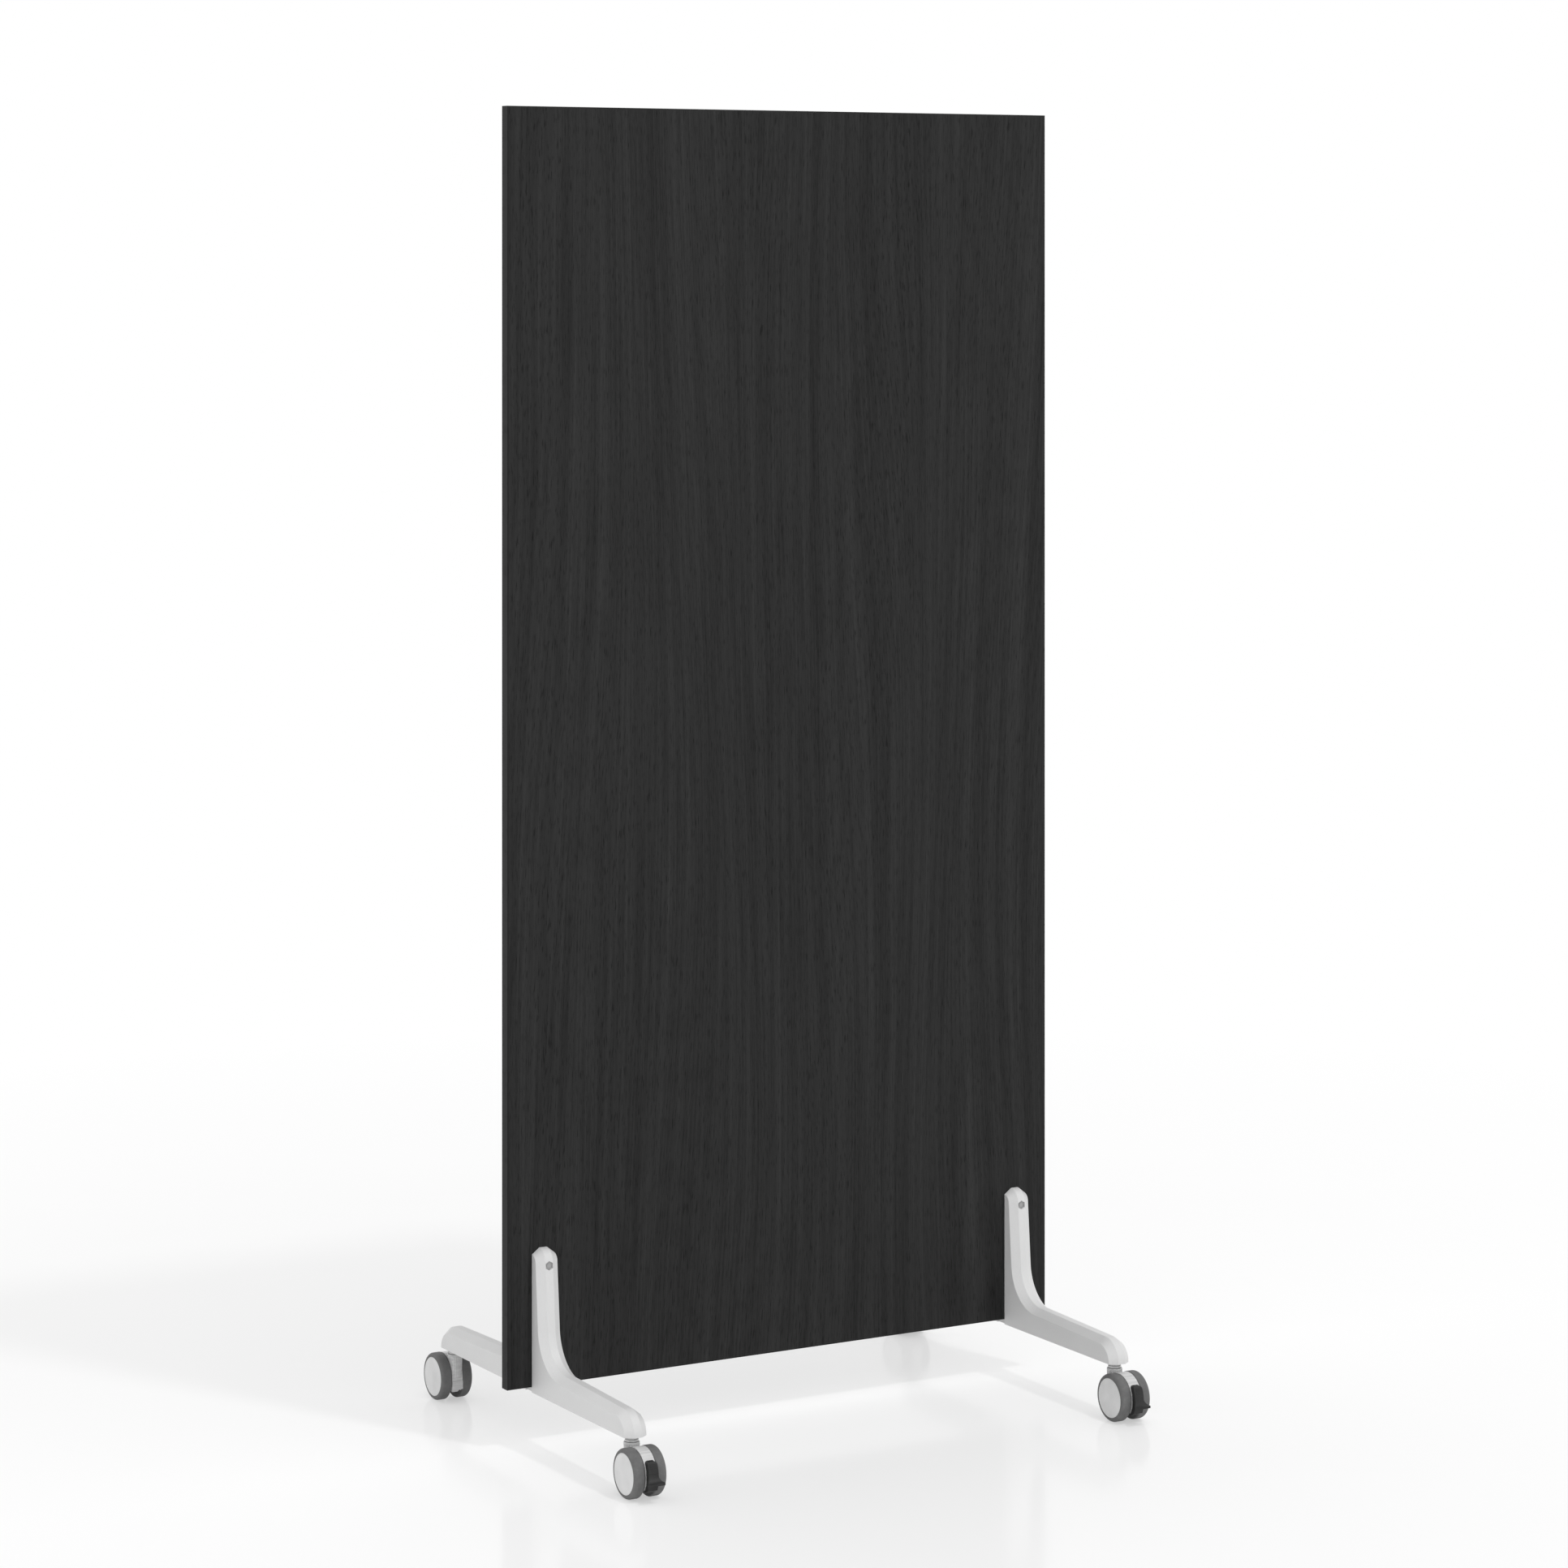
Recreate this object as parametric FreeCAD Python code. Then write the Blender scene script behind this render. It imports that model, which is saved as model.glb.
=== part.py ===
import FreeCAD, Part
import math
import os

# Rolling office screen: a boarded panel clamped between two cast feet, on four braked twin-wheel casters.
# Millimetres. The origin is on the floor under the middle of the panel; X runs along the panel to the right,
# Y runs away from the front face and Z is up. "out" is the distance from a panel face, away from the panel.

V = FreeCAD.Vector
os.makedirs("parts", exist_ok=True)

# Panel
panel_width = 914.4
panel_height = 1828.8
panel_thickness = 19.05
laminate_thickness = 0.8
edge_band_thickness = 2.0
edge_band_round = 0.75 * edge_band_thickness

# Feet
foot_inset = 56.2
leg_width = 35.0
leg_flat_width = leg_width / 3
leg_chamfer_depth = 8.8
leg_length = 289.5
leg_wall = 3.0
upright_height = 205.8
upright_depth = 20.3
upright_lean = math.radians(4.5)
leg_fall = math.radians(1.66)
leg_corner_radius = 57.0
nose_radius = 34.3
leg_edge_round = 1.2

# Bridge bar between the legs of one foot
bridge_thickness = 7.3
bridge_grip = 46.0
bridge_end_wall = 6.0
bridge_side_play = 0.1
bridge_screw_pitch = 18.0
bridge_screw_inset = 13.0
bridge_screw_radius = 3.0
bridge_screw_depth = 22.0
bridge_head_radius = 6.0

# Clamp bolt and nut
clamp_drop = 23.0
clamp_wall = 12.4
bolt_radius = 3.175
bolt_play = 0.225
bolt_head_radius = 4.76
bolt_head_height = 6.35
bolt_head_play = 0.64
bolt_key_flats = 4.76
bolt_key_depth = 3.2
bolt_end = 0.8
nut_flats = 11.1
nut_height = 5.6
nut_play = 0.4

# Casters
wheel_diameter = 69.0
wheel_pair_width = 50.0
tyre_thickness = 6.0
tyre_side_land = 1.0
tyre_inner_round = 2.0
cap_thickness = 2.4
cap_edge = 0.5
cap_spigot_depth = 3.0
hub_rim = 3.5
hub_web = 4.0
hub_boss_wall = 4.0
hub_recess = 0.4
trail = 23.5
axle_radius = 4.0
axle_groove_depth = 0.4
axle_groove_width = 1.2
running_clearance = 0.06
fixed_clearance = 0.02
leg_clearance = 10.7

# Caster stem
stem_inset = 19.5
stud_radius = 6.0
stud_length = 20.0
stud_boss_wall = 5.0
neck_height = 4.0
neck_step = 1.2
collar_radius = 9.6
collar_cone_height = 1.2
collar_height = 2.4
pin_radius = 5.0
pin_length = 28.5
ring_thickness = 1.2
ring_seat_depth = 0.7
ring_overlap = 0.4
ring_clearance = 0.8
bush_wall = 1.2
bush_flange = 0.8
bush_length = 24.5

# Caster hood
hood_wall = 1.14
hood_cheek = 0.8
hood_side_gap = 0.6
hood_drop = 0.5
hood_skirt = 17.9
hood_crown_back = 7.0
hood_back = 9.0
hood_back_up = 4.0
hood_lip = 1.0
hood_lip_up = -3.0
hood_step_height = 2.7
hood_step_depth = 6.0
hood_step_inset = 5.5
hood_step_slope = 3.1
drum_wall = 3.84
drum_rise = 1.5
drum_head_height = 5.2
drum_round = 1.2
drum_rim = 2.2
flute_count = 20
flute_radius = 0.7

# Brake pedal
pedal_side_gap = 0.2
pedal_reach = 6.7
pedal_thickness = 6.6
pedal_corner = 4.0
pedal_top_angle = 39.0
pedal_brow_angle = 34.0
pedal_brow_drop = 1.3
pedal_face_angles = (27.0, 18.0, 10.0)
pedal_lower_angles = (-14.0, -25.0)
pedal_bottom_angle = -37.0
toe_width = 27.0
toe_reach = 15.0
toe_edge = 1.0
toe_top = -5.3
toe_bottom = -8.3
toe_flare_out = 2.5
toe_flare_up = 3.0
pivot_depth = 8.5
pivot_up = -1.0
pivot_radius = 2.0
pedal_web_width = 10.0
pedal_web_radius = 3.6
pedal_web_grip = 1.5
slot_depth = 13.0
slot_top_angle = 14.0
slot_bottom_angle = -79.0
ridge_radius = 0.4
ridge_angles = (26.5, 23.0, 19.5, 16.0)
ridge_length = 7.4

# Feet and panel: heights and places that follow from the sizes above
leg_underside = wheel_diameter + leg_clearance
panel_bottom = leg_underside + bridge_thickness
panel_top = panel_bottom + panel_height
half_panel = panel_thickness / 2
foot_x = panel_width / 2 - foot_inset
bridge_width = leg_width - 2 * leg_wall
upright_top = leg_underside + upright_height
beyond_upright = 2 * upright_depth
clamp_z = upright_top - clamp_drop
bolt_hole_radius = bolt_radius + bolt_play
counterbore_radius = bolt_head_radius + bolt_head_play
nut_pocket_flats = nut_flats + nut_play

# Stem and bush
stem_y = -(half_panel + leg_length - stem_inset)
collar_bottom = leg_underside - neck_height - collar_cone_height - collar_height
neck_radius = collar_radius - neck_step
stud_boss_radius = stud_radius + stud_boss_wall
bush_radius = pin_radius + running_clearance + bush_wall
ring_radius = bush_radius + ring_overlap
housing_top = collar_bottom - running_clearance - bush_flange
bush_bottom = housing_top - bush_length
ring_bottom = bush_bottom - running_clearance - ring_thickness

# Hood and wheels
axle_y = stem_y - trail
wheel_radius = wheel_diameter / 2
hood_radius = wheel_radius - hood_drop
hood_width = 2 * (ring_radius + ring_clearance + hood_wall)
drum_radius = ring_radius + ring_clearance + drum_wall
drum_bottom = wheel_radius + drum_rise
wheel_inner = hood_width / 2 + hood_side_gap
wheel_outer = wheel_pair_width / 2
tyre_shoulder = tyre_thickness - tyre_side_land
hub_radius = wheel_radius - tyre_thickness
hub_boss_radius = axle_radius + hub_boss_wall
axle_end = wheel_outer - cap_thickness - cap_spigot_depth

# Pedal
slot_width = hood_width - 2 * hood_cheek
slot_inner_radius = wheel_radius - slot_depth
pedal_width = slot_width - 2 * pedal_side_gap
pedal_radius = wheel_radius + pedal_reach
pedal_inner_radius = pedal_radius - pedal_thickness
pivot_out = wheel_radius - pivot_depth
toe_out = wheel_radius + toe_reach


# Basic shapes
def box(x0, x1, y0, y1, z0, z1):
    return Part.makeBox(x1 - x0, y1 - y0, z1 - z0, V(x0, y0, z0))


def rod(radius, start, end):
    direction = end - start
    return Part.makeCylinder(radius, direction.Length, start, direction)


def face(*edges):
    return Part.Face(Part.Wire(edges))


def line(a, b):
    return Part.makeLine(a, b)


def arc(a, middle, b):
    return Part.Arc(a, middle, b).toShape()


def polygon(points):
    return Part.Face(Part.makePolygon(points + points[:1]))


def hexagon(flats, centre, across, along, depth):
    """Hexagonal prism with one corner on the across direction, reaching depth along the last one."""
    corner = flats / 2 / math.cos(math.pi / 6)
    points = []
    for step in range(6):
        turn = FreeCAD.Rotation(along, 60 * step)
        points.append(centre + turn.multVec(across * corner))
    return polygon(points).extrude(along * depth)


def joined(shapes):
    return shapes[0].fuse(shapes[1:]).removeSplitter()


# Panel pieces
def panel_blank():
    """The whole board with its face edges rounded all the way round."""
    blank = box(-panel_width / 2, panel_width / 2, -half_panel, half_panel, panel_bottom, panel_top)
    rims = [e for e in blank.Edges if abs(e.Vertexes[0].Y - e.Vertexes[1].Y) < edge_band_round]
    rims = [e for e in rims if abs(e.CenterOfMass.y) > half_panel / 2]
    return blank.makeFillet(edge_band_round, rims)


def clamp_holes(radius, y0, y1):
    return [rod(radius, V(side * foot_x, y0, clamp_z), V(side * foot_x, y1, clamp_z)) for side in (-1, 1)]


def panel_sheet(y0, y1):
    """One layer of the board inside the edge bands, drilled for the clamp bolts."""
    half_width = panel_width / 2 - edge_band_thickness
    z0 = panel_bottom + edge_band_thickness
    z1 = panel_top - edge_band_thickness
    return box(-half_width, half_width, y0, y1, z0, z1).cut(clamp_holes(bolt_hole_radius, y0, y1))


def edge_band(x0, x1, z0, z1):
    return panel_blank().common(box(x0, x1, -half_panel, half_panel, z0, z1))


def panel_parts():
    skin = half_panel - laminate_thickness
    inner = panel_width / 2 - edge_band_thickness
    outer = panel_width / 2
    return {
        "panel_core": panel_sheet(-skin, skin),
        "front_laminate": panel_sheet(-half_panel, -skin),
        "rear_laminate": panel_sheet(skin, half_panel),
        "edge_band_left": edge_band(-outer, -inner, panel_bottom, panel_top),
        "edge_band_right": edge_band(inner, outer, panel_bottom, panel_top),
        "edge_band_top": edge_band(-inner, inner, panel_top - edge_band_thickness, panel_top),
        "edge_band_bottom": edge_band(-inner, inner, panel_bottom, panel_bottom + edge_band_thickness),
    }


# Legs. They are drawn as the front leg of a foot standing at X = 0.
def leg_point(x, out, z):
    return V(x, -(half_panel + out), z)


def leg_outline(x, inset):
    """Side outline of a leg in the plane X = x, drawn in from the crest of the leg by inset."""
    upright = (math.cos(upright_lean), math.sin(upright_lean))
    top = (math.sin(leg_fall), math.cos(leg_fall))
    shoulder_z = upright_top - upright_depth
    nose_out = leg_length - nose_radius
    reach_upright = upright_depth + leg_corner_radius + upright[1] * shoulder_z
    reach_top = nose_radius + leg_corner_radius + top[0] * nose_out + top[1] * leg_underside
    spread = upright[0] * top[1] - upright[1] * top[0]
    corner_out = (reach_upright * top[1] - reach_top * upright[1]) / spread
    corner_z = (upright[0] * reach_top - top[0] * reach_upright) / spread
    shoulder = upright_depth - inset
    corner = -(leg_corner_radius + inset)
    nose = nose_radius - inset

    def around(out, z, radius, direction):
        return leg_point(x, out + radius * direction[0], z + radius * direction[1])

    def heading(angle):
        return (math.cos(angle), math.sin(angle))

    shoulder_top = around(0, shoulder_z, shoulder, (0, 1))
    shoulder_end = around(0, shoulder_z, shoulder, upright)
    corner_start = around(corner_out, corner_z, corner, upright)
    corner_end = around(corner_out, corner_z, corner, top)
    nose_start = around(nose_out, leg_underside, nose, top)
    nose_end = around(nose_out, leg_underside, nose, (1, 0))
    shoulder_middle = around(0, shoulder_z, shoulder, heading((math.pi / 2 + upright_lean) / 2))
    corner_middle = around(corner_out, corner_z, corner, heading((math.pi / 2 - leg_fall + upright_lean) / 2))
    nose_middle = around(nose_out, leg_underside, nose, heading((math.pi / 2 - leg_fall) / 2))
    heel = leg_point(x, 0, leg_underside)
    return Part.Wire([
        arc(shoulder_top, shoulder_middle, shoulder_end),
        line(shoulder_end, corner_start),
        arc(corner_start, corner_middle, corner_end),
        line(corner_end, nose_start),
        arc(nose_start, nose_middle, nose_end),
        line(nose_end, heel),
        line(heel, shoulder_top),
    ])


def leg_bar(half_width, half_flat, side_inset, crest_inset):
    """Solid leg with a flat crest and a sloping chamfer down to each side."""
    sections = [
        leg_outline(-half_width, side_inset),
        leg_outline(-half_flat, crest_inset),
        leg_outline(half_flat, crest_inset),
        leg_outline(half_width, side_inset),
    ]
    return Part.makeLoft(sections, True, True)


def softened(bar):
    """The leg with its lengthways ridges rounded, up to the panel face and down to the underside."""
    near = leg_edge_round / 2
    ridges = []
    for edge in bar.Edges:
        middle = edge.valueAt((edge.FirstParameter + edge.LastParameter) / 2)
        clear = middle.y < -(half_panel + near) and middle.z > leg_underside + near
        if clear and edge.BoundBox.XLength < near:
            ridges.append(edge)
    return bar.makeFillet(leg_edge_round, ridges)


def leg_hollow():
    """Space under the casting, between the bridge bar and the stem boss."""
    slope = leg_chamfer_depth / ((leg_width - leg_flat_width) / 2)
    stretch = math.sqrt(1 + slope ** 2)
    side_inset = leg_chamfer_depth - slope * leg_wall + stretch * leg_wall
    half_flat = leg_flat_width / 2 - (stretch - 1) * leg_wall / slope
    half_width = leg_width / 2 - leg_wall
    space = leg_bar(half_width, half_flat, side_inset, leg_wall)
    start = bridge_grip + bridge_end_wall
    limit = box(-half_width, half_width, -(half_panel + leg_length), -(half_panel + start),
                leg_underside, upright_top)
    boss = rod(stud_boss_radius, V(0, stem_y, leg_underside), V(0, stem_y, upright_top))
    return space.common(limit).cut(boss)


def bridge_screw_places():
    """Y of the two screws that go up into a front leg."""
    last = half_panel + bridge_grip - bridge_screw_inset
    return [-(last - bridge_screw_pitch), -last]


def leg(fastener_pocket):
    channel = bridge_width / 2 + bridge_side_play
    stud_top = leg_underside + stud_length
    screw_top = leg_underside + bridge_screw_depth
    cuts = [
        leg_hollow(),
        box(-channel, channel, -(half_panel + bridge_grip), -half_panel, leg_underside, panel_bottom),
        rod(stud_radius + fixed_clearance, V(0, stem_y, leg_underside), V(0, stem_y, stud_top)),
        rod(bolt_hole_radius, leg_point(0, 0, clamp_z), leg_point(0, beyond_upright, clamp_z)),
        fastener_pocket,
    ]
    for y in bridge_screw_places():
        cuts.append(rod(bridge_screw_radius + fixed_clearance, V(0, y, leg_underside), V(0, y, screw_top)))
    return softened(leg_bar(leg_width / 2, leg_flat_width / 2, leg_chamfer_depth, 0)).cut(cuts)


def nut_pocket():
    start = leg_point(0, clamp_wall, clamp_z)
    return hexagon(nut_pocket_flats, start, V(0, 0, 1), V(0, -1, 0), beyond_upright)


def head_pocket():
    return rod(counterbore_radius, leg_point(0, clamp_wall, clamp_z), leg_point(0, beyond_upright, clamp_z))


# Pieces that hold a foot together
def countersunk(y, radius, head_radius):
    """Screw shape standing on the underside of the bridge bar, head down."""
    shank = rod(radius, V(0, y, leg_underside), V(0, y, leg_underside + bridge_screw_depth))
    head = Part.makeCone(head_radius, radius, head_radius - radius, V(0, y, leg_underside))
    return shank.fuse(head)


def bridge_bar():
    end = half_panel + bridge_grip
    bar = box(-bridge_width / 2, bridge_width / 2, -end, end, leg_underside, panel_bottom)
    holes = []
    for y in bridge_screw_places():
        for end_sign in (-1, 1):
            holes.append(countersunk(end_sign * y, bridge_screw_radius + fixed_clearance,
                                     bridge_head_radius + fixed_clearance))
    return bar.cut(holes)


def bridge_screw(y):
    screw = countersunk(y, bridge_screw_radius, bridge_head_radius).removeSplitter()
    key = hexagon(bridge_screw_radius, V(0, y, leg_underside), V(1, 0, 0), V(0, 0, 1), bridge_screw_radius)
    return screw.cut(key)


def clamp_bolt():
    """Socket screw with its head in the rear leg, reaching forward through the nut."""
    seat = half_panel + clamp_wall
    tip = -(seat + nut_height + bolt_end)
    head_end = V(0, seat + bolt_head_height, clamp_z)
    shank = rod(bolt_radius, V(0, seat, clamp_z), V(0, tip, clamp_z))
    head = rod(bolt_head_radius, V(0, seat, clamp_z), head_end)
    key = hexagon(bolt_key_flats, head_end, V(0, 0, 1), V(0, -1, 0), bolt_key_depth)
    return joined([shank, head]).cut(key)


def clamp_nut():
    start = leg_point(0, clamp_wall, clamp_z)
    nut = hexagon(nut_flats, start, V(0, 0, 1), V(0, -1, 0), nut_height)
    return nut.cut(rod(bolt_radius + fixed_clearance, start, leg_point(0, clamp_wall + nut_height, clamp_z)))


# Caster pieces. They are drawn as a front caster of a foot standing at X = 0.
def from_axle(out, up, x=0.0):
    return V(x, axle_y - out, wheel_radius + up)


def polar(radius, degrees, x=0.0):
    angle = math.radians(degrees)
    return from_axle(radius * math.cos(angle), radius * math.sin(angle), x)


def lengthways(flat_face, width):
    """Prism of a side outline drawn at X = 0, width across and centred."""
    return flat_face.translated(V(-width / 2, 0, 0)).extrude(V(width, 0, 0))


def ring_turned(points):
    """Ring about the axle from corner points (x, radius)."""
    corners = [from_axle(0, radius, x) for x, radius in points]
    return polygon(corners).revolve(from_axle(0, 0), V(1, 0, 0), 360)


def stem():
    """Threaded stud, neck, round collar and swivel pin with its ring groove."""
    axis = V(0, stem_y, 0)
    up = V(0, 0, 1)
    cone_bottom = collar_bottom + collar_height
    neck_bottom = cone_bottom + collar_cone_height
    groove_start = axis + up * ring_bottom
    groove = Part.makeCylinder(pin_radius, ring_thickness, groove_start)
    groove = groove.cut(Part.makeCylinder(pin_radius - ring_seat_depth, ring_thickness, groove_start))
    return joined([
        Part.makeCylinder(collar_radius, collar_height, axis + up * collar_bottom),
        Part.makeCone(collar_radius, neck_radius, collar_cone_height, axis + up * cone_bottom),
        Part.makeCylinder(neck_radius, neck_height, axis + up * neck_bottom),
        Part.makeCylinder(stud_radius, stud_length, axis + up * leg_underside),
        Part.makeCylinder(pin_radius, pin_length, axis + up * (collar_bottom - pin_length)),
    ]).cut(groove)


def retaining_ring():
    start = V(0, stem_y, ring_bottom)
    ring = Part.makeCylinder(ring_radius, ring_thickness, start)
    return ring.cut(Part.makeCylinder(pin_radius - ring_seat_depth + fixed_clearance, ring_thickness, start))


def swivel_bush():
    start = V(0, stem_y, bush_bottom)
    sleeve = Part.makeCylinder(bush_radius, bush_length, start)
    flange = Part.makeCylinder(collar_radius, bush_flange, V(0, stem_y, housing_top))
    bore = Part.makeCylinder(pin_radius + running_clearance, bush_length + bush_flange, start)
    return joined([sleeve, flange]).cut(bore)


def hood_arch():
    """Arched cover between the wheels, ending behind the stem in a back with a proud lower lip."""
    crown = trail + hood_crown_back
    back = trail + hood_back
    front_foot = from_axle(math.sqrt(hood_radius ** 2 - hood_skirt ** 2), -hood_skirt)
    crown_end = from_axle(-crown, math.sqrt(hood_radius ** 2 - crown ** 2))
    back_top = from_axle(-back, hood_back_up)
    lip_inner = from_axle(-back, hood_lip_up)
    lip_outer = from_axle(-(back + hood_lip), hood_lip_up)
    back_foot = from_axle(-(back + hood_lip), -hood_skirt)
    side = face(
        arc(front_foot, polar(hood_radius, 45), crown_end),
        line(crown_end, back_top),
        line(back_top, lip_inner),
        line(lip_inner, lip_outer),
        line(lip_outer, back_foot),
        line(back_foot, front_foot),
    )
    return lengthways(side, hood_width)


def stem_drum():
    """Fluted round housing for the stem, cut back to the width of the arch below its head."""
    start = V(0, stem_y, drum_bottom)
    drum = Part.makeCylinder(drum_radius, housing_top - drum_bottom, start)
    rim = [edge for edge in drum.Edges if edge.CenterOfMass.z > housing_top - drum_round]
    drum = drum.makeFillet(drum_round, rim)
    half = hood_width / 2
    head_bottom = housing_top - drum_head_height
    cuts = []
    for near, far in ((-drum_radius, -half), (half, drum_radius)):
        cuts.append(box(near, far, stem_y - drum_radius, stem_y + drum_radius, drum_bottom, head_bottom))
    for step in range(flute_count):
        angle = 2 * math.pi * (step + 0.5) / flute_count
        flute = start + V(math.cos(angle), math.sin(angle), 0) * drum_radius
        cuts.append(rod(flute_radius, flute, flute + V(0, 0, housing_top - drum_rim - drum_bottom)))
    return drum.cut(cuts)


def hood_step():
    """Waste that leaves the lower edge of the hood's back shorter on one side, with a sloping step."""
    half = hood_width / 2
    bottom = wheel_radius - hood_skirt
    outer_y = stem_y + hood_back + hood_lip
    inner_y = outer_y - hood_step_depth
    inner_x = -half + hood_step_inset
    rise = hood_step_height
    corners = [(-half, 0), (inner_x + hood_step_slope, 0), (inner_x, rise), (-half, rise)]
    return polygon([V(x, inner_y, bottom + up) for x, up in corners]).extrude(V(0, hood_step_depth, 0))


def pedal_slot():
    outer = pedal_radius
    inner = slot_inner_radius
    top = slot_top_angle
    bottom = slot_bottom_angle
    middle = (top + bottom) / 2
    side = face(
        line(polar(inner, top), polar(outer, top)),
        arc(polar(outer, top), polar(outer, middle), polar(outer, bottom)),
        line(polar(outer, bottom), polar(inner, bottom)),
        arc(polar(inner, bottom), polar(inner, middle), polar(inner, top)),
    )
    return lengthways(side, slot_width)


def hood():
    axis = V(0, stem_y, 0)
    up = V(0, 0, 1)
    skirt = wheel_radius - hood_skirt
    half = hood_width / 2
    cuts = [
        pedal_slot(),
        hood_step(),
        Part.makeCylinder(bush_radius + fixed_clearance, bush_length, axis + up * bush_bottom),
        Part.makeCylinder(ring_radius + ring_clearance, bush_bottom - skirt, axis + up * skirt),
        rod(axle_radius + fixed_clearance, from_axle(0, 0, -half), from_axle(0, 0, half)),
        rod(pivot_radius + running_clearance, from_axle(pivot_out, pivot_up, -half),
            from_axle(pivot_out, pivot_up, half)),
    ]
    return joined([hood_arch(), stem_drum()]).cut(cuts)


def axle():
    """Plain pin with a groove near each end, its own width in from the end, that the hub snaps into."""
    pin = rod(axle_radius, from_axle(0, 0, -axle_end), from_axle(0, 0, axle_end))
    grooves = []
    for side in (-1, 1):
        start = from_axle(0, 0, side * (axle_end - axle_groove_width))
        end = from_axle(0, 0, side * (axle_end - 2 * axle_groove_width))
        grooves.append(rod(axle_radius, start, end).cut(rod(axle_radius - axle_groove_depth, start, end)))
    return pin.cut(grooves)


def pedal_side():
    """Side outline of the pedal: rounded top, curved face, toe lip and lower face."""
    top_inner = polar(pedal_inner_radius, pedal_top_angle)
    brow = polar(pedal_radius - pedal_brow_drop, pedal_brow_angle)
    face_top, face_middle, face_end = [polar(pedal_radius, angle) for angle in pedal_face_angles]
    flare = from_axle(pedal_radius + toe_flare_out, toe_top + toe_flare_up)
    toe_upper = from_axle(toe_out, toe_top)
    toe_lower = from_axle(toe_out, toe_bottom)
    under_toe, lower_face = [polar(pedal_radius, angle) for angle in pedal_lower_angles]
    bottom_inner = polar(pedal_inner_radius, pedal_bottom_angle)
    return face(
        arc(top_inner, brow, face_top),
        arc(face_top, face_middle, face_end),
        arc(face_end, flare, toe_upper),
        line(toe_upper, toe_lower),
        line(toe_lower, under_toe),
        line(under_toe, lower_face),
        line(lower_face, bottom_inner),
        arc(bottom_inner, polar(pedal_inner_radius, 0), top_inner),
    )


def pedal_plan():
    """Column over the pedal seen from above: narrow between the wheels, flaring to the toe lip."""
    half = pedal_width / 2
    toe_half = toe_width / 2
    right = [(0, half), (pedal_radius, half), (toe_out - toe_edge, toe_half), (toe_out, toe_half)]
    left = [(out, -x) for out, x in reversed(right)]
    floor = [from_axle(out, -wheel_radius, x) for out, x in right + left]
    return polygon(floor).extrude(V(0, 0, wheel_diameter))


def pedal_corners():
    """Waste outside the two rounded upper corners of the pedal."""
    centre_up = pedal_inner_radius * math.sin(math.radians(pedal_top_angle)) - pedal_corner
    centre_x = pedal_width / 2 - pedal_corner
    cuts = []
    for side in (-1, 1):
        start = from_axle(0, centre_up, side * centre_x)
        end = from_axle(toe_out, centre_up, side * centre_x)
        near, far = sorted((side * centre_x, side * pedal_width))
        waste = box(near, far, end.y, start.y, start.z, wheel_diameter)
        cuts.append(waste.cut(rod(pedal_corner, start, end)))
    return cuts


def pedal_web():
    """Block that joins the pedal to its pivot, with a trunnion out to each cheek of the hood."""
    half = pedal_web_width / 2
    reach = pedal_inner_radius + pedal_web_grip
    trunnion = hood_width / 2 - pedal_side_gap
    low = wheel_radius + pivot_up - pedal_web_radius
    block = box(-half, half, axle_y - reach, axle_y - pivot_out, low, low + 2 * pedal_web_radius)

    def on_pivot(x):
        return from_axle(pivot_out, pivot_up, x)

    return [
        block,
        rod(pedal_web_radius, on_pivot(-half), on_pivot(half)),
        rod(pivot_radius, on_pivot(-trunnion), on_pivot(trunnion)),
    ]


def brake_pedal():
    """Curved pedal with a toe lip, riding on two trunnions in the hood."""
    shell = lengthways(pedal_side(), toe_width).common(pedal_plan()).cut(pedal_corners())
    half = ridge_length / 2
    ridges = [rod(ridge_radius, polar(pedal_radius, angle, -half), polar(pedal_radius, angle, half))
              for angle in ridge_angles]
    return joined([shell] + pedal_web() + ridges)


def wheel_hub(side):
    start = wheel_inner + hub_recess
    end = wheel_outer - cap_thickness
    bore = axle_radius + running_clearance
    snap = axle_radius - axle_groove_depth + running_clearance
    snap_start = axle_end - 2 * axle_groove_width + running_clearance
    snap_end = axle_end - axle_groove_width - running_clearance
    rim_inner = hub_radius - hub_rim
    points = [
        (start, bore), (start, hub_radius), (end, hub_radius), (end, rim_inner),
        (start + hub_web, rim_inner), (start + hub_web, hub_boss_radius), (axle_end, hub_boss_radius),
        (axle_end, bore), (snap_end, bore), (snap_end, snap), (snap_start, snap), (snap_start, bore),
    ]
    return ring_turned([(side * x, radius) for x, radius in points])


def hub_cap(side):
    start = wheel_outer - cap_thickness
    spigot_outer = hub_radius - hub_rim - fixed_clearance
    spigot_inner = spigot_outer - hub_rim
    points = [
        (start, 0), (start, spigot_inner), (start - cap_spigot_depth, spigot_inner),
        (start - cap_spigot_depth, spigot_outer), (start, spigot_outer), (start, hub_radius),
        (wheel_outer - cap_edge, hub_radius), (wheel_outer, hub_radius - cap_edge), (wheel_outer, 0),
    ]
    return ring_turned([(side * x, radius) for x, radius in points])


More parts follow.
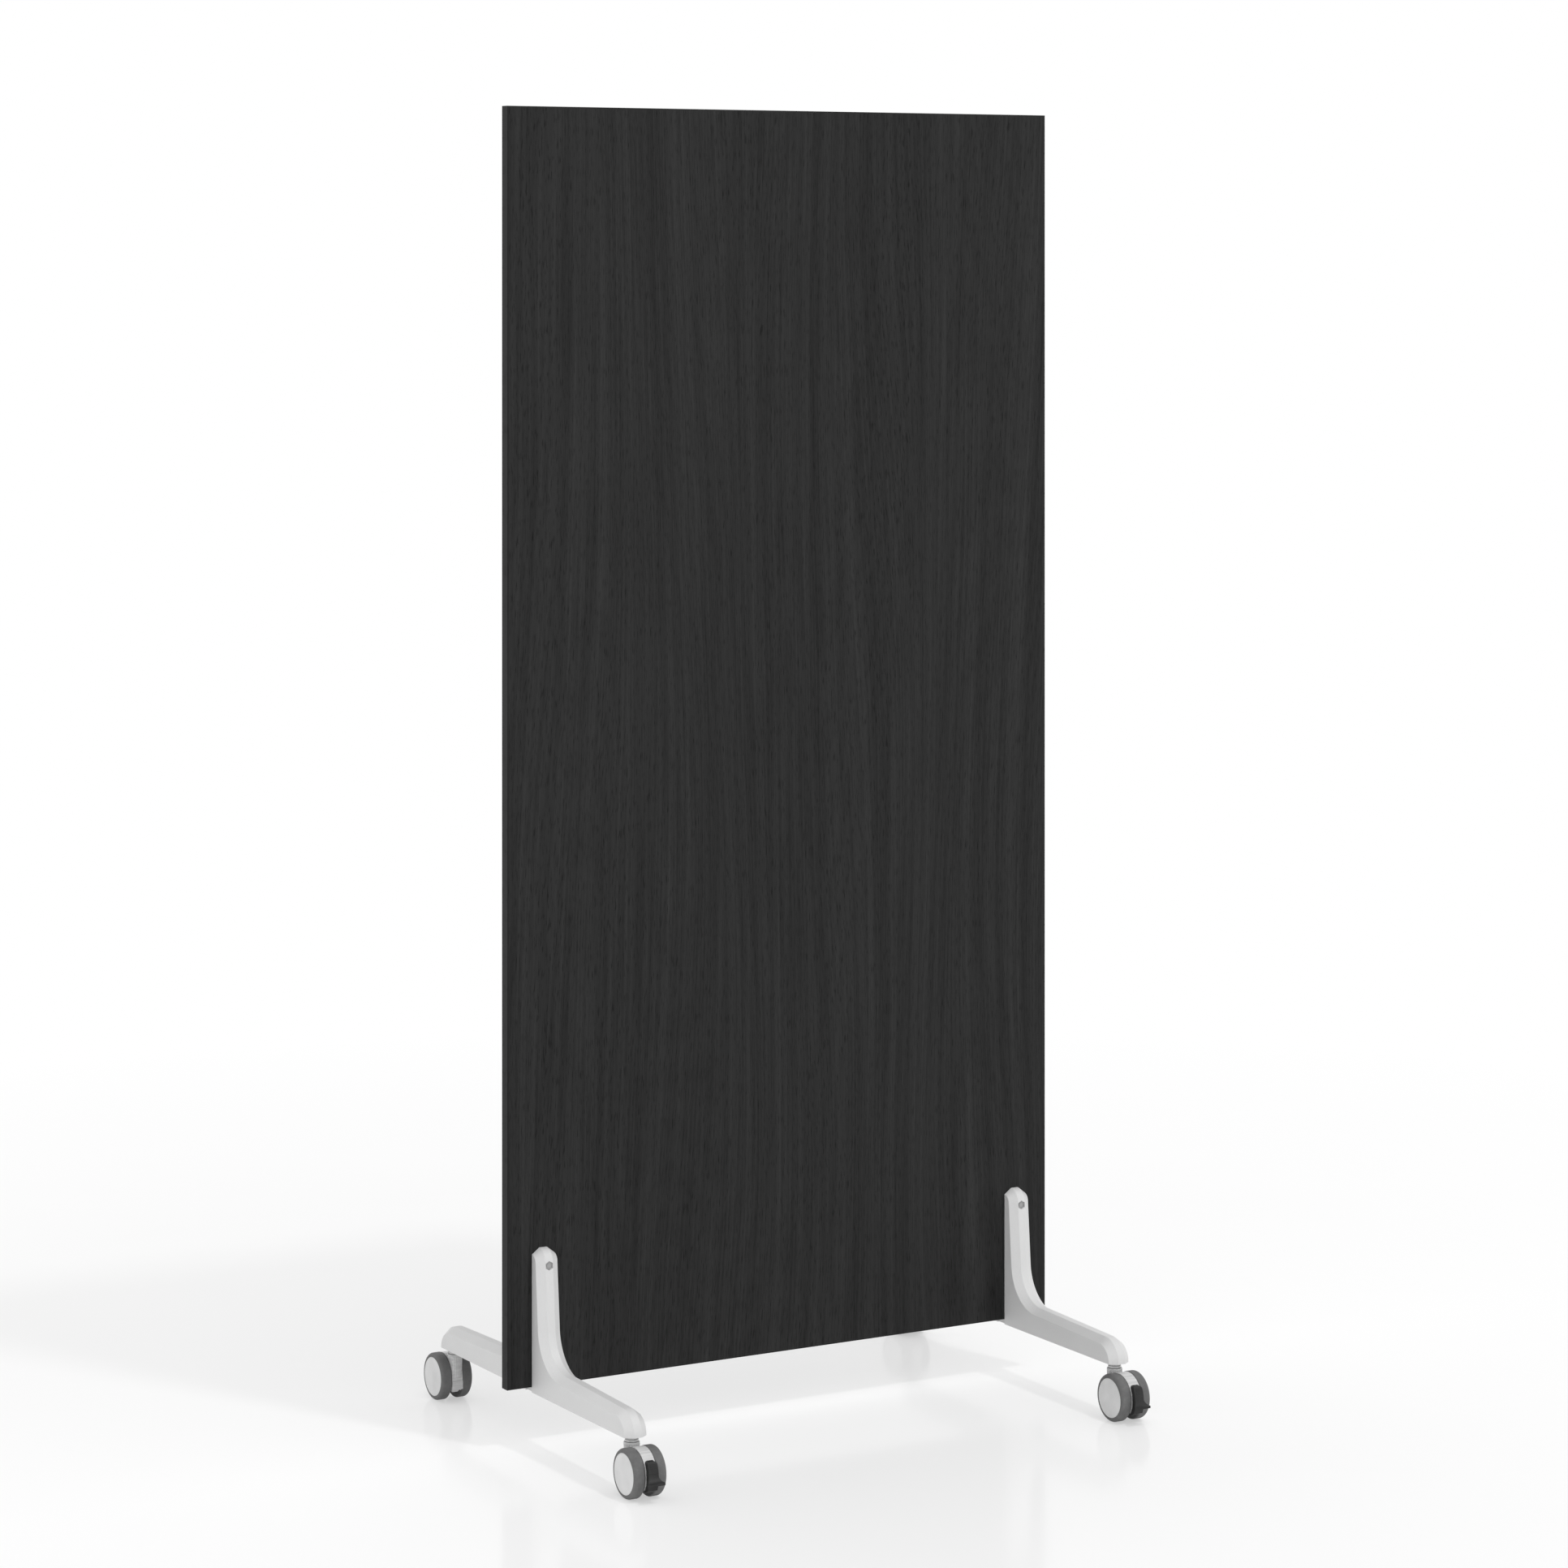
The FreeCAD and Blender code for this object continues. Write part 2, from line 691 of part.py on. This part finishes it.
def tyre(side):
    """Tyre with a small round on the hood side and a wide shoulder on the outside."""
    inner = hub_radius + fixed_clearance
    bevel = 1 - math.sqrt(0.5)

    def at(x, radius):
        return from_axle(0, radius, side * x)

    section = face(
        line(at(wheel_inner, inner), at(wheel_inner, wheel_radius - tyre_inner_round)),
        arc(at(wheel_inner, wheel_radius - tyre_inner_round),
            at(wheel_inner + bevel * tyre_inner_round, wheel_radius - bevel * tyre_inner_round),
            at(wheel_inner + tyre_inner_round, wheel_radius)),
        line(at(wheel_inner + tyre_inner_round, wheel_radius), at(wheel_outer - tyre_shoulder, wheel_radius)),
        arc(at(wheel_outer - tyre_shoulder, wheel_radius),
            at(wheel_outer - bevel * tyre_shoulder, wheel_radius - bevel * tyre_shoulder),
            at(wheel_outer, wheel_radius - tyre_shoulder)),
        line(at(wheel_outer, wheel_radius - tyre_shoulder), at(wheel_outer, inner)),
        line(at(wheel_outer, inner), at(wheel_inner, inner)),
    )
    return section.revolve(from_axle(0, 0), V(1, 0, 0), 360)


# Assembly
def placed(shape, side, end):
    """Copy of a front piece moved to the left (-1) or right (1) foot, turned round for the rear (1) end."""
    copy = shape.copy()
    if end > 0:
        copy.rotate(V(0, 0, 0), V(0, 0, 1), 180)
    copy.translate(V(side * foot_x, 0, 0))
    return copy


def all_parts():
    parts = panel_parts()
    front_leg = leg(nut_pocket())
    rear_leg = leg(head_pocket())
    whole = {
        "hood": hood(),
        "axle": axle(),
        "swivel_bush": swivel_bush(),
        "brake_pedal": brake_pedal(),
    }
    by_wheel = {"tyre": tyre, "hub": wheel_hub, "hub_cap": hub_cap}
    group_names = ("bridge_screws", "clamp_bolts", "clamp_nuts", "caster_stems", "stem_rings")
    groups = {name: [] for name in group_names}
    for side, side_name in ((-1, "left"), (1, "right")):
        parts[side_name + "_bridge_bar"] = placed(bridge_bar(), side, -1)
        groups["clamp_bolts"].append(placed(clamp_bolt(), side, -1))
        groups["clamp_nuts"].append(placed(clamp_nut(), side, -1))
        for end, end_name in ((-1, "front"), (1, "rear")):
            corner = side_name + "_" + end_name + "_"
            parts[corner + "leg"] = placed(front_leg if end < 0 else rear_leg, side, end)
            groups["caster_stems"].append(placed(stem(), side, end))
            groups["stem_rings"].append(placed(retaining_ring(), side, end))
            for y in bridge_screw_places():
                groups["bridge_screws"].append(placed(bridge_screw(y), side, end))
            for name, shape in whole.items():
                parts[corner + name] = placed(shape, side, end)
            for hand, wheel_name in ((side, "outer_"), (-side, "inner_")):
                for name, make in by_wheel.items():
                    parts[corner + wheel_name + name] = placed(make(-end * hand), side, end)
    for name, shapes in groups.items():
        parts[name] = Part.makeCompound(shapes)
    return parts


for node, shape in all_parts().items():
    shape.exportStep("parts/" + node + ".step")
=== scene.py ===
import math

import bpy
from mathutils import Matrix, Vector

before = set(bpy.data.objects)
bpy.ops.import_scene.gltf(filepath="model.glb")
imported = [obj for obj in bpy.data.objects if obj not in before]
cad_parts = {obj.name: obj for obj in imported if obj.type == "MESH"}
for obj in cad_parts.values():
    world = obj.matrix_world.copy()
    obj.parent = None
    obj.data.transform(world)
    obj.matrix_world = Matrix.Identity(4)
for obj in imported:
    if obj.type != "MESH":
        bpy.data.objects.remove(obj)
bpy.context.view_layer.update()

# Rolling office screen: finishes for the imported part, a white studio floor and the photograph's camera.
# Metres, in the part's own frame; the camera's lens and sensor in millimetres. Grey levels are display values
# from 0 to 255. Cells are noise cells per metre.

# Camera: level, turned 30 degrees to the left of the front face, with a lens shift
camera_place = (-3.2603, -5.6512, 1.7107)
camera_turn = math.radians(-30)
camera_lens = 101.45
camera_sensor = 36.0
camera_shift = -0.3407

# Light: one lamp, and a white sky that is dimmer above the height (sine of the elevation) of its horizon
key_place = (1.59, -4.5, 8.55)
key_radius = 0.4
key_power = 728.0
sky_horizon = 1.0
sky_zenith = 0.7
horizon_height = 0.3

# Floor: lit near the part, and pure white from far_radius on
floor_half = 60.0
floor_level = 253
floor_roughness = 0.13
floor_ior = 1.2
floor_white_near = 0.46
near_radius = 1.6
far_radius = 3.2

# Wood grain: cells across and along the grain, and what each layer adds to the tone
field_cells = (3.0, 0.35)
field_bend = 0.3
figure_lines = 380.0
figure_tone = 0.05
band_cells = (42.0, 0.5)
band_tone = 0.28
streak_cells = (300.0, 3.2)
streak_tone = 0.29
pore_cells = (760.0, 50.0)
pore_tone = 0.42
pore_bottom = 0.30
pore_edge = 0.46
panel_levels = (3, 30, 50)
edge_levels = (11, 30, 40)

# Depth of the surface relief
grain_relief = 0.00012
chip_relief = 0.0006
paint_relief = 0.00008
steel_relief = 0.00003
tyre_relief = 0.00006
hood_relief = 0.00003
hub_relief = 0.00004
pedal_relief = 0.00008

# Range that holds most of a noise
noise_low = 0.3
noise_high = 0.7


def linear(level):
    """Linear light of a display grey level."""
    share = level / 255
    if share <= 0.04045:
        return share / 12.92
    return ((share + 0.055) / 1.055) ** 2.4


def grey(level):
    value = linear(level)
    return (value, value, value, 1.0)


def around(level, shade):
    return (level - shade, level, level + shade)


def even(cells):
    return (cells, cells, cells)


# Node helpers
def new_material(name, roughness, specular, metallic=0.0):
    material = bpy.data.materials.new(name)
    material.use_nodes = True
    tree = material.node_tree
    shader = tree.nodes["Principled BSDF"]
    shader.inputs["Roughness"].default_value = roughness
    shader.inputs["Specular IOR Level"].default_value = specular
    shader.inputs["Metallic"].default_value = metallic
    return material, tree, shader


def noise(tree, cells, detail=2.0, roughness=0.5, offset=(0.0, 0.0, 0.0), bend=None):
    """Noise over the piece's own coordinates, which bend moves; cells along X, Y and Z."""
    coordinates = tree.nodes.new("ShaderNodeTexCoord")
    moved = tree.nodes.new("ShaderNodeVectorMath")
    moved.operation = "ADD"
    mapping = tree.nodes.new("ShaderNodeMapping")
    mapping.inputs["Scale"].default_value = cells
    mapping.inputs["Location"].default_value = offset
    texture = tree.nodes.new("ShaderNodeTexNoise")
    texture.inputs["Scale"].default_value = 1.0
    texture.inputs["Detail"].default_value = detail
    texture.inputs["Roughness"].default_value = roughness
    tree.links.new(coordinates.outputs["Object"], moved.inputs[0])
    if bend is not None:
        tree.links.new(bend, moved.inputs[1])
    tree.links.new(moved.outputs["Vector"], mapping.inputs["Vector"])
    tree.links.new(mapping.outputs["Vector"], texture.inputs["Vector"])
    return texture.outputs["Fac"]


def calc(tree, operation, first, second=0.0):
    node = tree.nodes.new("ShaderNodeMath")
    node.operation = operation
    for socket, value in zip(node.inputs, (first, second)):
        if isinstance(value, (int, float)):
            socket.default_value = value
        else:
            tree.links.new(value, socket)
    return node.outputs[0]


def blend(tree, first, second, share):
    """share of first, and the rest of second."""
    return calc(tree, "ADD", calc(tree, "MULTIPLY", first, share), calc(tree, "MULTIPLY", second, 1 - share))


def spread(tree, value, low, high, to_low, to_high):
    """value taken from the range low..high to the range to_low..to_high, and held at its ends."""
    node = tree.nodes.new("ShaderNodeMapRange")
    node.inputs["From Min"].default_value = low
    node.inputs["From Max"].default_value = high
    node.inputs["To Min"].default_value = to_low
    node.inputs["To Max"].default_value = to_high
    tree.links.new(value, node.inputs["Value"])
    return node.outputs["Result"]


def stretch(tree, value, top=1.0):
    """A noise stretched over the range from 0 to top."""
    return spread(tree, value, noise_low, noise_high, 0.0, top)


def paint(tree, shader, value, levels):
    """Base colour from value 0..1 over evenly spaced grey levels."""
    node = tree.nodes.new("ShaderNodeValToRGB")
    stops = node.color_ramp.elements
    while len(stops) < len(levels):
        stops.new(0.5)
    for index, level in enumerate(levels):
        stops[index].position = index / (len(levels) - 1)
        stops[index].color = grey(level)
    tree.links.new(value, node.inputs["Fac"])
    tree.links.new(node.outputs["Color"], shader.inputs["Base Color"])


def relief(tree, shader, height, depth):
    node = tree.nodes.new("ShaderNodeBump")
    node.inputs["Strength"].default_value = 1.0
    node.inputs["Distance"].default_value = depth
    tree.links.new(height, node.inputs["Height"])
    tree.links.new(node.outputs["Normal"], shader.inputs["Normal"])


def seen_rays(tree):
    """1 for the rays that show the background itself: to the camera, in gloss and through clear pieces."""
    path = tree.nodes.new("ShaderNodeLightPath")
    seen = calc(tree, "ADD", path.outputs["Is Camera Ray"], path.outputs["Is Glossy Ray"])
    return calc(tree, "ADD", seen, path.outputs["Is Transmission Ray"])


# Finishes
def wood_grain(name, along, levels):
    """Black wood-grain decor along the Z or X axis: bands, streaks and short pores, bent by a slow field
    whose own level lines are the figure."""
    def grain_cells(cells):
        across, lengthways = cells
        if along == "Z":
            return (across, 1.0, lengthways)
        return (lengthways, across, across)

    material, tree, shader = new_material(name, roughness=0.5, specular=0.12)
    field = noise(tree, grain_cells(field_cells), detail=1.5)
    bend = calc(tree, "MULTIPLY", field, field_bend)
    figure = calc(tree, "SINE", calc(tree, "MULTIPLY", field, figure_lines))
    figure = spread(tree, figure, -0.6, 1.0, 0.0, figure_tone)
    bands = noise(tree, grain_cells(band_cells), detail=3.0, roughness=0.6, offset=(3.1, 0.0, 1.7), bend=bend)
    bands = stretch(tree, bands, band_tone)
    streaks = noise(tree, grain_cells(streak_cells), detail=3.0, roughness=0.65, bend=bend)
    streaks = stretch(tree, streaks, streak_tone)
    pores = noise(tree, grain_cells(pore_cells), roughness=0.6, offset=(0.0, 0.0, 5.3), bend=bend)
    pores = spread(tree, pores, pore_bottom, pore_edge, 0.0, pore_tone)
    tone = calc(tree, "ADD", calc(tree, "ADD", figure, bands), calc(tree, "ADD", streaks, pores))
    paint(tree, shader, tone, levels)
    relief(tree, shader, tone, grain_relief)
    return material


def chipboard(name):
    material, tree, shader = new_material(name, roughness=0.85, specular=0.2)
    chips = noise(tree, (260.0, 900.0, 260.0), detail=3.0, roughness=0.7)
    paint(tree, shader, chips, (95, 150, 190))
    relief(tree, shader, chips, chip_relief)
    return material


def satin_paint(name, level):
    """Smooth light paint over a casting, with a fine orange-peel ripple."""
    material, tree, shader = new_material(name, roughness=0.42, specular=0.4)
    ripple = noise(tree, even(420.0))
    cloud = noise(tree, even(14.0), offset=(2.0, 1.0, 4.0))
    paint(tree, shader, blend(tree, ripple, cloud, 0.4), around(level, 6))
    relief(tree, shader, ripple, paint_relief)
    return material


def plated_steel(name, level, metallic=1.0):
    """Plated steel with fine turning marks round the upright axis."""
    material, tree, shader = new_material(name, roughness=0.34, specular=0.5, metallic=metallic)
    marks = noise(tree, (60.0, 60.0, 2600.0), detail=3.0, roughness=0.6)
    paint(tree, shader, marks, (level - 14, level, level + 10))
    relief(tree, shader, marks, steel_relief)
    return material


def moulded_plastic(name, levels, roughness, specular, depth, mark_cells=even(45.0)):
    """Plastic with the grain of its mould, of the depth given, and tone marks of mark_cells cells: moulding
    marks, and on the hood painted streaks of reflection.
    """
    material, tree, shader = new_material(name, roughness, specular)
    speckle = noise(tree, even(1700.0))
    marks = noise(tree, mark_cells, offset=(1.0, 6.0, 2.0))
    paint(tree, shader, stretch(tree, blend(tree, speckle, marks, 0.25)), levels)
    relief(tree, shader, speckle, depth)
    return material


def tyre_rubber(name):
    """Grey rolling rubber, a little dusty where it runs."""
    material, tree, shader = new_material(name, roughness=0.62, specular=0.25)
    speckle = noise(tree, even(1300.0), detail=3.0, roughness=0.6)
    dust = noise(tree, even(90.0), detail=4.0, roughness=0.65, offset=(4.0, 2.0, 9.0))
    paint(tree, shader, stretch(tree, blend(tree, speckle, dust, 0.4)), around(110, 11))
    relief(tree, shader, speckle, tyre_relief)
    return material


def hood_plastic():
    """Light plastic with faint streaks across the hood: a painted reflection in its colour."""
    # Streaks across the hood: painted reflection, fine along Y and Z and broad along X
    mark_cells = (30.0, 300.0, 300.0)
    return moulded_plastic("hood_plastic", around(208, 15), 0.36, 0.42, hood_relief, mark_cells)


def give_finishes():
    """One finish for each kind of piece, chosen by the end of the node's name."""
    bright_steel = plated_steel("bright_steel", 190)
    dull_steel = plated_steel("dull_steel", 165, metallic=0.4)
    leg_paint = satin_paint("leg_paint", 221)
    panel_grain = wood_grain("black_wood_grain", "Z", panel_levels)
    upright_edge = wood_grain("black_edge_upright", "Z", edge_levels)
    level_edge = wood_grain("black_edge_level", "X", edge_levels)
    finishes = {
        "panel_core": chipboard("chipboard"),
        "_laminate": panel_grain,
        "edge_band_left": upright_edge,
        "edge_band_right": upright_edge,
        "edge_band_top": level_edge,
        "edge_band_bottom": level_edge,
        "_leg": leg_paint,
        "bridge_bar": leg_paint,
        "bridge_screws": bright_steel,
        "clamp_bolts": dull_steel,
        "clamp_nuts": dull_steel,
        "caster_stems": plated_steel("stem_steel", 205, metallic=0.3),
        "stem_rings": bright_steel,
        "_axle": bright_steel,
        "swivel_bush": moulded_plastic("bush_plastic", around(120, 10), 0.5, 0.3, hood_relief),
        "_hood": hood_plastic(),
        "brake_pedal": moulded_plastic("pedal_plastic", around(44, 8), 0.45, 0.25, pedal_relief),
        "_tyre": tyre_rubber("tyre_rubber"),
        "_hub": moulded_plastic("hub_plastic", around(90, 10), 0.55, 0.3, hub_relief),
        "hub_cap": moulded_plastic("cap_plastic", around(225, 6), 0.5, 0.35, hub_relief),
    }
    for name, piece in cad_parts.items():
        ending = next(key for key in finishes if name.endswith(key))
        piece.data.materials.clear()
        piece.data.materials.append(finishes[ending])


# Studio
def floor_finish():
    """Glossy white that takes the part's shadow, and turns pure white away from the part."""
    material, tree, shader = new_material("white_floor", floor_roughness, specular=0.5)
    shader.inputs["IOR"].default_value = floor_ior
    paint(tree, shader, noise(tree, even(3.0)), around(floor_level, 1))
    coordinates = tree.nodes.new("ShaderNodeTexCoord")
    distance = tree.nodes.new("ShaderNodeVectorMath")
    distance.operation = "LENGTH"
    tree.links.new(coordinates.outputs["Object"], distance.inputs[0])
    share = spread(tree, distance.outputs["Value"], near_radius, far_radius, floor_white_near, 1.0)
    white = tree.nodes.new("ShaderNodeEmission")
    lit = tree.nodes.new("ShaderNodeMixShader")
    tree.links.new(calc(tree, "MULTIPLY", seen_rays(tree), share), lit.inputs["Fac"])
    tree.links.new(shader.outputs["BSDF"], lit.inputs[1])
    tree.links.new(white.outputs["Emission"], lit.inputs[2])
    tree.links.new(lit.outputs["Shader"], tree.nodes["Material Output"].inputs["Surface"])
    return material


def studio_floor():
    mesh = bpy.data.meshes.new("studio_floor")
    corners = [(x, y, 0.0) for x, y in ((-1, -1), (1, -1), (1, 1), (-1, 1))]
    mesh.from_pydata([Vector(corner) * floor_half for corner in corners], [], [(0, 1, 2, 3)])
    mesh.materials.append(floor_finish())
    floor = bpy.data.objects.new("studio_floor", mesh)
    bpy.context.scene.collection.objects.link(floor)


def key_lamp():
    key = bpy.data.lights.new("key", "POINT")
    key.energy = key_power
    key.shadow_soft_size = key_radius
    lamp = bpy.data.objects.new("key", key)
    lamp.location = key_place
    bpy.context.scene.collection.objects.link(lamp)


def white_sky():
    """Sky that is seen as pure white, and lights the part a little less from above."""
    world = bpy.data.worlds.new("studio")
    world.use_nodes = True
    bpy.context.scene.world = world
    tree = world.node_tree
    coordinates = tree.nodes.new("ShaderNodeTexCoord")
    direction = tree.nodes.new("ShaderNodeSeparateXYZ")
    tree.links.new(coordinates.outputs["Generated"], direction.inputs["Vector"])
    light = spread(tree, direction.outputs["Z"], horizon_height, 1.0, sky_horizon, sky_zenith)
    background = tree.nodes["Background"]
    background.inputs["Color"].default_value = (1.0, 1.0, 1.0, 1.0)
    tree.links.new(calc(tree, "MAXIMUM", light, seen_rays(tree)), background.inputs["Strength"])


def photo_camera():
    data = bpy.data.cameras.new("camera")
    data.lens = camera_lens
    data.sensor_width = camera_sensor
    data.shift_y = camera_shift
    camera = bpy.data.objects.new("camera", data)
    camera.location = camera_place
    camera.rotation_euler = (math.pi / 2, 0.0, camera_turn)
    bpy.context.scene.collection.objects.link(camera)
    bpy.context.scene.camera = camera


give_finishes()
studio_floor()
key_lamp()
white_sky()
photo_camera()
bpy.context.scene.view_settings.view_transform = "Standard"
